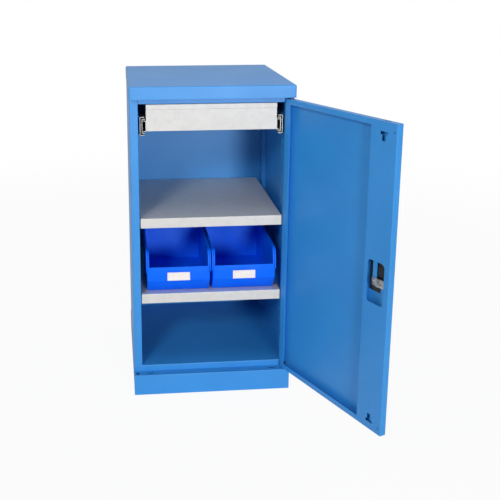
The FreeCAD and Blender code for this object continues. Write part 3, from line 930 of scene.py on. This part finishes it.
@dataclass
class RodLock:
    """The lock in the door: its housing, cam, rosette and outside handle.

    Its pieces are shaped round the spindle, square to the door: X runs to the hinge edge,
    Y into the cupboard and Z up. Then they are hung in the open door. The handle narrows to
    waist_share of its width at waist_level of its half height, and to tip_share at its ends.
    """

    pivot: tuple[float, float] = (240.5 * MM, -262.5 * MM)
    opened: float = 113.0
    spindle: tuple[float, float, float] = (-441 * MM, 0.0, 510 * MM)
    skin_out: float = -7 * MM
    skin_in: float = -5.8 * MM
    # The black base reaches 46 mm to the hinge side and 52 mm up, more than the housing needs. Part of
    # it is the real housing, and the rest is painted shade: it fills the lock window with black where
    # deep shade falls beside the upper rod.
    base_sides: tuple[float, float] = (-38 * MM, 46 * MM)
    base_thick: float = 3 * MM
    base_ends: tuple[float, float] = (-32 * MM, 52 * MM)
    body_half: float = 28 * MM
    body_top: float = 0.2 * MM
    body_ends: tuple[float, float] = (-28 * MM, 44 * MM)
    corner_round: float = 4 * MM
    corner_steps: int = 4
    recess_edge: float = 2.5 * MM
    recess_deep: float = 1 * MM
    screw_radius: float = 3.2 * MM
    screw_high: float = 1.6 * MM
    screw_rim: float = 1.6 * MM
    screw_sink: float = 1 * MM
    screw_inset: float = 9 * MM
    screw_corners: int = 36
    cam_face: float = 4.8 * MM
    cam_thick: float = 2.5 * MM
    cam_reach: float = 25 * MM
    cam_end: float = 6 * MM
    cam_neck: float = 12 * MM
    cam_round: float = 4 * MM
    cam_steps: int = 5
    rivet_place: float = 18 * MM
    rivet_radius: float = 4 * MM
    rivet_high: float = 2 * MM
    rivet_rings: int = 16
    boss_radius: float = 12 * MM
    boss_high: float = 3 * MM
    boss_rim: float = 4 * MM
    boss_sink: float = 0.8 * MM
    rosette_radius: float = 24 * MM
    rosette_thick: float = 4 * MM
    rosette_rim: float = 5 * MM
    rosette_sink: float = 0.8 * MM
    rosette_corners: int = 72
    grip_gap: float = 0.5 * MM
    grip_size: tuple[float, float, float] = (7 * MM, 20 * MM, 34 * MM)
    waist_level: float = 0.45
    waist_share: float = 0.72
    tip_share: float = 0.8
    tip_round: float = 6 * MM
    tip_steps: int = 5
    grip_round: float = 1.4 * MM
    grip_steps: int = 3
    plug_bore: float = 5.2 * MM
    plug_depth: float = 12 * MM
    edge_round: float = 0.4 * MM
    fine_round: float = 0.35 * MM

    def hang_in_door(self, piece: bpy.types.Object) -> bpy.types.Object:
        """Move a piece from the spindle's own frame to its place in the open door.

        Args:
            piece: The piece, shaped round the spindle.

        Returns:
            The same piece.
        """
        piece.location = self.spindle
        settle(piece, piece.name)
        piece.rotation_euler = (0.0, 0.0, math.radians(self.opened))
        piece.location = (*self.pivot, 0.0)
        return settle(piece, piece.name)

    def make_housing(self) -> bpy.types.Object:
        """Mould the housing: a base, a raised body with a recessed face, and two screws.

        Returns:
            The housing.
        """
        outer, inner = self.base_sides
        ledge = self.skin_in + self.base_thick
        foot, head = self.base_ends
        # The base is partly the real housing and partly painted shade: its black fills the lock window
        # beyond the body.
        base = add_block("lock_housing", (outer, self.skin_in, foot), (inner, ledge, head))
        with editing(base):
            pick_edges(base, running("y"))
            bpy.ops.mesh.bevel(
                offset=self.corner_round, segments=self.corner_steps, affect="EDGES"
            )
        low, high = self.body_ends
        body = add_block(
            "housing_body",
            (-self.body_half, ledge - self.base_thick / 2, low),
            (self.body_half, self.body_top, high),
        )
        with editing(body):
            pick_edges(body, running("y"))
            bpy.ops.mesh.bevel(
                offset=self.corner_round, segments=self.corner_steps, affect="EDGES"
            )
            sink(body, 1, self.recess_edge, self.recess_deep)
        screws = [
            self.add_screw(ledge, ((inner + self.body_half) / 2, head - self.screw_inset)),
            self.add_screw(ledge, ((outer - self.body_half) / 2, foot + self.screw_inset)),
        ]
        piece = join([base, body, *screws])
        soften(piece, self.edge_round)
        return piece

    def add_screw(self, level: float, place: tuple[float, float]) -> bpy.types.Object:
        """Make a flat screw head with a round socket.

        Args:
            level: Where the head's underside lies along Y.
            place: The head's middle, as X and Z.

        Returns:
            The screw head.
        """
        top = level + self.screw_high
        screw = add_disc("screw", self.screw_radius, level, top, self.screw_corners)
        with editing(screw):
            sink(screw, 1, self.screw_rim, self.screw_sink)
        screw.location = (place[0], 0.0, place[1])
        return settle(screw, "screw")

    def make_cam(self) -> bpy.types.Object:
        """Press the cam: a tapered plate with a turned boss and two domed rivets.

        Returns:
            The cam.
        """
        plate = add_block(
            "pressed_cam",
            (-self.cam_reach, self.cam_face, -self.cam_neck),
            (self.cam_reach, self.cam_face + self.cam_thick, self.cam_neck),
        )
        rise = self.cam_neck - self.cam_end
        run = self.cam_reach - self.boss_radius
        with editing(plate):
            for side in (-1, 1):
                for up in (-1, 1):
                    corner = (side * self.cam_reach, 0.0, up * self.cam_end)
                    cut_away(corner, (side * rise, 0.0, up * run))
            tip = self.cam_reach - NEAR
            pick_edges(plate, lambda at, way: abs(way.y) > STRAIGHT and abs(at.x) > tip)
            bpy.ops.mesh.bevel(offset=self.cam_round, segments=self.cam_steps, affect="EDGES")
        face = self.cam_face + self.cam_thick
        boss = add_disc("boss", self.boss_radius, face - OVERLAP, face + self.boss_high)
        with editing(boss):
            sink(boss, 1, self.boss_rim, self.boss_sink)
        rivets = []
        for side in (-1, 1):
            clear_selection()
            bpy.ops.mesh.primitive_uv_sphere_add(
                segments=2 * self.rivet_rings, ring_count=self.rivet_rings, radius=1
            )
            rivet = settle(bpy.context.active_object, "rivet")
            with editing(rivet):
                cut_away((0.0, 0.0, 0.0), (0.0, -1.0, 0.0))
            rivet.scale = (self.rivet_radius, self.rivet_high, self.rivet_radius)
            rivet.location = (side * self.rivet_place, face, 0.0)
            rivets.append(settle(rivet, "rivet"))
        piece = join([plate, boss, *rivets])
        soften(piece, self.fine_round)
        return piece

    def make_rosette(self) -> bpy.types.Object:
        """Mould the rosette: a disc with rounded edges and a sunk face.

        Returns:
            The rosette.
        """
        low = self.skin_out - self.rosette_thick
        disc = add_disc(
            "moulded_rosette", self.rosette_radius, low, self.skin_out, self.rosette_corners
        )
        with editing(disc):
            sink(disc, -1, self.rosette_rim, self.rosette_sink)
        soften(disc, self.fine_round)
        return disc

    def make_grip(self) -> bpy.types.Object:
        """Mould the outside handle: a tapered wing with finger hollows and the plug's bore.

        Returns:
            The handle.
        """
        half, high, tall = self.grip_size
        near = self.skin_out - self.rosette_thick - self.grip_gap
        wing = add_block("moulded_handle", (-half, near - high, -tall), (half, near, tall))
        with editing(wing):
            waist = self.waist_level * tall
            for level in (-waist, 0.0, waist):
                bpy.ops.mesh.select_all(action="SELECT")
                bpy.ops.mesh.bisect(plane_co=(0.0, 0.0, level), plane_no=(0.0, 0.0, 1.0))
            pick_edges(
                wing,
                lambda at, way: abs(way.y) > STRAIGHT and abs(abs(at.z) - waist) < NEAR,
            )
            bpy.ops.transform.resize(value=(self.waist_share, 1.0, 1.0))
            pick_faces(wing, lambda at, way: abs(way.z) > ALONG)
            bpy.ops.transform.resize(value=(self.tip_share, 1.0, 1.0))
            pick_edges(wing, lambda at, way: abs(way.x) > ALONG and abs(abs(at.z) - tall) < NEAR)
            bpy.ops.mesh.bevel(offset=self.tip_round, segments=self.tip_steps, affect="EDGES")
        soften(wing, self.grip_round, self.grip_steps)
        face = near - high
        bore = add_disc("bore", self.plug_bore, face - OVERLAP, face + self.plug_depth)
        modify(wing, "BOOLEAN", object=bore, operation="DIFFERENCE", solver="EXACT")
        bpy.data.objects.remove(bore, do_unlink=True)
        return wing

    def build(self) -> None:
        """Model the lock's pieces, hang them in the door and finish them."""
        for piece, body, coat, node in (
            (self.make_housing(), "door", Coat.NYLON, "lock_base"),
            (self.make_cam(), "lock_turn", Coat.PLATE, "lock_cam"),
            (self.make_rosette(), "door", Coat.NYLON, "lock_rosette"),
            (self.make_grip(), "lock_turn", Coat.NYLON, "turn_handle"),
        ):
            fit(self.hang_in_door(piece), body, coat, [node])


@dataclass
class Drawer:
    """The galvanised drawer and its telescopic slides."""

    sheets: tuple[str, ...] = ("drawer_tray", "drawer_front")
    members: tuple[str, ...] = (
        "slide_fixed_left",
        "slide_fixed_right",
        "slide_middle_left",
        "slide_middle_right",
        "slide_inner_left",
        "slide_inner_right",
    )

    def dress(self) -> None:
        """Give the drawer's nodes their finishes."""
        paint_nodes(Coat.SHEET, self.sheets)
        paint_nodes(Coat.PLATE, self.members)


@dataclass
class BallRows:
    """The balls of one telescopic slide, in cages that run with its middle member.

    The rows between the middle and inner members lie at the middle member's front half,
    and those between the fixed and middle members at its rear half. Each row gives its
    distance outside the drawer's side, its distance over and under the slide's middle line,
    and where its first ball lies along Y.
    """

    word: str
    side: int
    height: float = 874 * MM
    drawer_side: float = 201 * MM
    front_row: tuple[float, float, float] = (6.2 * MM, 18.75 * MM, -226 * MM)
    rear_row: tuple[float, float, float] = (9 * MM, 24.75 * MM, 2 * MM)
    radius: float = 2.2 * MM
    segments: int = 18
    rings: int = 10
    pitch: float = 12 * MM
    balls: int = 17
    cage_half: float = 1.6 * MM
    cage_thick: float = 0.7 * MM
    cage_round: float = 0.2 * MM

    def make_row(self, depth: float, level: float, start: float) -> bpy.types.Object:
        """Make one row of balls in its cage.

        Args:
            depth: How far the row lies outside the drawer's side.
            level: Its height over the slide's middle line.
            start: Where its first ball lies along Y.

        Returns:
            The row.
        """
        across = self.side * (self.drawer_side + depth)
        tall = self.height + level
        clear_selection()
        bpy.ops.mesh.primitive_uv_sphere_add(
            segments=self.segments,
            ring_count=self.rings,
            radius=self.radius,
            location=(across, start, tall),
        )
        row = settle(bpy.context.active_object, "ball_row")
        modify(
            row,
            "ARRAY",
            count=self.balls,
            use_relative_offset=False,
            use_constant_offset=True,
            constant_offset_displace=(0.0, self.pitch, 0.0),
        )
        length = self.pitch * (self.balls - 1)
        cage = add_block(
            "cage",
            (across - self.cage_half, start - self.pitch / 2, tall - self.cage_thick / 2),
            (across + self.cage_half, start + length + self.pitch / 2, tall + self.cage_thick / 2),
        )
        soften(cage, self.cage_round)
        return join([row, cage])

    def build(self) -> None:
        """Make the four rows of the slide and fit them to its middle member."""
        rows = []
        for depth, level, start in (self.front_row, self.rear_row):
            rows += [self.make_row(depth, way * level, start) for way in (-1, 1)]
        piece = join(rows)
        piece.name = f"ball_cages_{self.word}"
        fit(piece, f"middle_slide_{self.word}", Coat.PLATE)


@dataclass
class OpenFrontBin:
    """A moulded open-front bin with a rim, front posts, a label frame and feet.

    Upward and forward are the least parts of a face's normal that mark it as one of those
    that the finished bin leaves open.
    """

    word: str
    middle: float
    width: float = 209 * MM
    rim: float = 5 * MM
    rim_thick: float = 2.4 * MM
    wall: float = 2.5 * MM
    front: float = -241.5 * MM
    length: float = 350 * MM
    floor: float = 331.3 * MM
    height: float = 141 * MM
    lip: float = 74 * MM
    band: float = 43 * MM
    nose: float = 37 * MM
    lean: float = 26 * MM
    post: float = 6 * MM
    label: tuple[float, float] = (72 * MM, 27 * MM)
    curve_steps: int = 9
    curve_power: float = 0.8
    chin_step: float = 2 * MM
    corner_round: float = 9 * MM
    corner_steps: int = 4
    base_round: float = 3 * MM
    base_steps: int = 3
    edge_round: float = 0.5 * MM
    upward: float = 0.05
    forward: float = 0.3
    frame_border: float = 2 * MM
    frame_high: float = 1.2 * MM
    frame_edge: float = 1.4 * MM
    frame_sink: float = 1.5 * MM
    foot_lift: float = 1 * MM
    foot_high: float = 1.2 * MM
    foot_inset: float = 30 * MM
    foot_half: float = 3 * MM
    foot_front: float = 12 * MM
    foot_back: float = 25 * MM
    foot_taper: tuple[float, float, float] = (0.6, 0.985, 1.0)

    def scoop(self, inset: float) -> list[tuple[float, float]]:
        """Give the side wall's front edge, from the lip up to the rim.

        Args:
            inset: How far the edge lies inside the bin's outline.

        Returns:
            Points of (Y, Z) on a steep quarter oval.
        """
        rise = self.height - self.lip
        points = []
        for step in range(self.curve_steps + 1):
            turn = math.radians(90 * step / self.curve_steps)
            across = self.lean * (1 - math.cos(turn) ** self.curve_power)
            up = rise * math.sin(turn) ** self.curve_power
            points.append((self.front + inset + across, self.floor + self.lip - inset + up))
        return points

    def make_shell(self) -> bpy.types.Object:
        """Shape the bin's walls from a block: cut its nose and scoop, round it and open it.

        Returns:
            The hollow bin without its rim.
        """
        back = self.front + self.length - self.rim
        half = self.width / 2 - self.rim
        piece = add_block(
            f"{self.word}_bin_moulding",
            (self.middle - half, self.front, self.floor + self.foot_lift),
            (self.middle + half, back, self.floor + self.height - self.rim_thick / 2),
        )
        scoop = self.scoop(self.rim_thick / 2)
        aside = Vector((1.0, 0.0, 0.0))
        with editing(piece):
            for start, end in zip(scoop, scoop[1:]):
                run = Vector((0.0, end[0] - start[0], end[1] - start[1]))
                cut_away((self.middle, *start), aside.cross(run).normalized())
            chin = Vector((0.0, self.nose - self.chin_step, -self.band))
            cut_away(
                (self.middle, self.front + self.chin_step, self.floor + self.band),
                chin.cross(aside).normalized(),
            )
            bpy.ops.mesh.select_all(action="SELECT")
            bpy.ops.mesh.normals_make_consistent(inside=False)
            # The scoop and the top are open.
            level = self.floor + self.lip
            pick_faces(
                piece,
                lambda at, way: abs(way.x) < ALONG
                and at.z > level - NEAR
                and at.y < back - NEAR
                and (way.z > self.upward or way.y < -self.forward),
            )
            bpy.ops.mesh.delete(type="FACE")
            # The two upright edges at the back are round, and so are those of the floor.
            pick_edges(piece, lambda at, way: abs(way.z) > STRAIGHT and at.y > back - NEAR)
            bpy.ops.mesh.bevel(
                offset=self.corner_round, segments=self.corner_steps, affect="EDGES"
            )
            under = self.floor + self.foot_lift + NEAR
            behind = self.front + self.nose
            pick_edges(piece, lambda at, way: at.z < under and at.y > behind)
            bpy.ops.mesh.bevel(offset=self.base_round, segments=self.base_steps, affect="EDGES")
        modify(piece, "SOLIDIFY", thickness=self.wall, offset=-1.0, use_even_offset=True)
        return piece

    def make_strip(self, path: list[tuple[float, float]], near: float, far: float) -> bpy.types.Object:
        """Run a flat strip along a path of the side view.

        Args:
            path: Points of (Y, Z).
            near: The strip's edge over the wall.
            far: Its other edge.

        Returns:
            The strip, with its thickness.
        """
        clear_selection()
        bpy.ops.mesh.primitive_plane_add(size=1)
        piece = settle(bpy.context.active_object, f"{self.word}_strip")
        with editing(piece):
            # Only the plane's front edge stays. It is drawn along the path.
            pick_edges(piece, lambda at, way: at.y > NEAR - UNIT_HALF)
            bpy.ops.mesh.delete(type="EDGE")
            bpy.ops.mesh.select_all(action="SELECT")
            start = path[0]
            bpy.ops.transform.resize(value=(abs(far - near), 1.0, 1.0))
            bpy.ops.transform.translate(value=((near + far) / 2, start[0] + UNIT_HALF, start[1]))
            for before, after in zip(path, path[1:]):
                bpy.ops.mesh.extrude_region_move(
                    TRANSFORM_OT_translate={
                        "value": (0.0, after[0] - before[0], after[1] - before[1])
                    }
                )
            bpy.ops.mesh.select_all(action="SELECT")
            bpy.ops.mesh.normals_make_consistent(inside=False)
        modify(piece, "SOLIDIFY", thickness=self.rim_thick, offset=0.0, use_even_offset=True)
        return piece

    def make_rim(self, side: int) -> list[bpy.types.Object]:
        """Make the rim of one side: up the front and back along the top, with its post.

        Args:
            side: -1 for the left side and 1 for the right one.

        Returns:
            The rim and the post behind the front edge.
        """
        wall = self.middle + side * (self.width / 2 - self.rim)
        outer = self.middle + side * (self.width / 2 - self.rim_thick / 2)
        front_edge = self.scoop(self.rim_thick / 2)
        top = self.floor + self.height - self.rim_thick / 2
        path = [*front_edge, (self.front + self.length - self.rim_thick / 2, top)]
        rim = self.make_strip(path, wall - side * self.wall, outer)
        post = self.make_strip(front_edge, wall, wall - side * self.post)
        return [rim, post]

    def make_label_frame(self) -> bpy.types.Object:
        """Raise a thin frame round the label on the front band.

        Returns:
            The frame.
        """
        half = self.label[0] / 2 + self.frame_border
        rise = self.label[1] / 2 + self.frame_border
        level = self.floor + (self.lip + self.band) / 2
        piece = add_block(
            f"{self.word}_label_frame",
            (self.middle - half, self.front - self.frame_high, level - rise),
            (self.middle + half, self.front + OVERLAP, level + rise),
        )
        with editing(piece):
            sink(piece, -1, self.frame_edge, self.frame_sink)
        return piece

    def make_foot(self, side: int) -> bpy.types.Object:
        """Make one of the two long feet under the bin's floor.

        Args:
            side: -1 for the left foot and 1 for the right one.

        Returns:
            The foot, tapered at both ends.
        """
        middle = self.middle + side * (self.width / 2 - self.foot_inset)
        start = self.front + self.nose + self.foot_front
        end = self.front + self.length - self.foot_back
        foot = add_block(
            f"{self.word}_foot",
            (middle - self.foot_half, start, self.floor),
            (middle + self.foot_half, end, self.floor + self.foot_high),
        )
        with editing(foot):
            pick_faces(foot, facing("z", -1))
            bpy.ops.transform.resize(value=self.foot_taper)
        return foot

    def build(self) -> None:
        """Model the bin, finish it and finish its label."""
        half = self.width / 2
        back = self.front + self.length
        top = self.floor + self.height
        back_rim = add_block(
            f"{self.word}_back_rim",
            (self.middle - half, back - self.rim - self.wall, top - self.rim_thick),
            (self.middle + half, back, top),
        )
        parts = [self.make_shell(), back_rim, self.make_label_frame()]
        for side in (-1, 1):
            parts += [*self.make_rim(side), self.make_foot(side)]
        piece = join(parts)
        soften(piece, self.edge_round)
        fit(piece, f"{self.word}_bin", Coat.BIN, [f"bin_{self.word}"])
        paint_nodes(Coat.CARD, [f"bin_label_{self.word}"])


def main() -> None:
    """Build the studio and dress the cupboard, one sub-assembly after another."""
    logging.basicConfig(level=logging.INFO, format="%(name)s %(message)s", force=True)
    Studio().build()
    Carcass().dress()
    Door().dress()
    RodLock().build()
    Drawer().dress()
    BallRows("left", -1).build()
    BallRows("right", 1).build()
    OpenFrontBin("left", -105 * MM).build()
    OpenFrontBin("right", 105 * MM).build()


if __name__ == "__main__":
    main()
